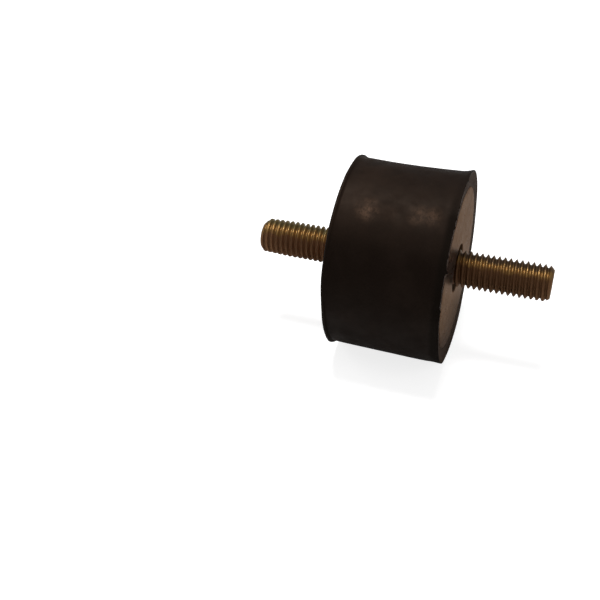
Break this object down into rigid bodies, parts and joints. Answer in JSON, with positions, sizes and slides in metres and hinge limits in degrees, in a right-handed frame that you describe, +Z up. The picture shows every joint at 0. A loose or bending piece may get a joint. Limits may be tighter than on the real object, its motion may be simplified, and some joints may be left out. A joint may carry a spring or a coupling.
{
  "type": "bobbin vibration mount",
  "caption": "Round rubber block bonded between two steel end plates, each with a threaded stud pointing outwards on the block's axis.",
  "frame": {"origin": "middle of the rubber on the stud axis, which is the middle of the whole mount", "axes": "+X along the stud axis towards the flared end, +Z up as it lies on its side on a bench"},
  "size_m": [0.08, 0.0524, 0.0524],
  "materials": {
    "rubber": "moulded natural rubber, dull with a soft sheen and paler scuffs",
    "plate_steel": "passivated steel, satin, brownish beige",
    "stud_steel": "yellow passivated zinc on steel, glossy on the thread's crests"
  },
  "bodies": {
    "root": {"rubber_body": "rubber", "right_end_plate": "plate_steel", "left_end_plate": "plate_steel", "right_stud": "stud_steel", "left_stud": "stud_steel"}
  },
  "joints": []
}
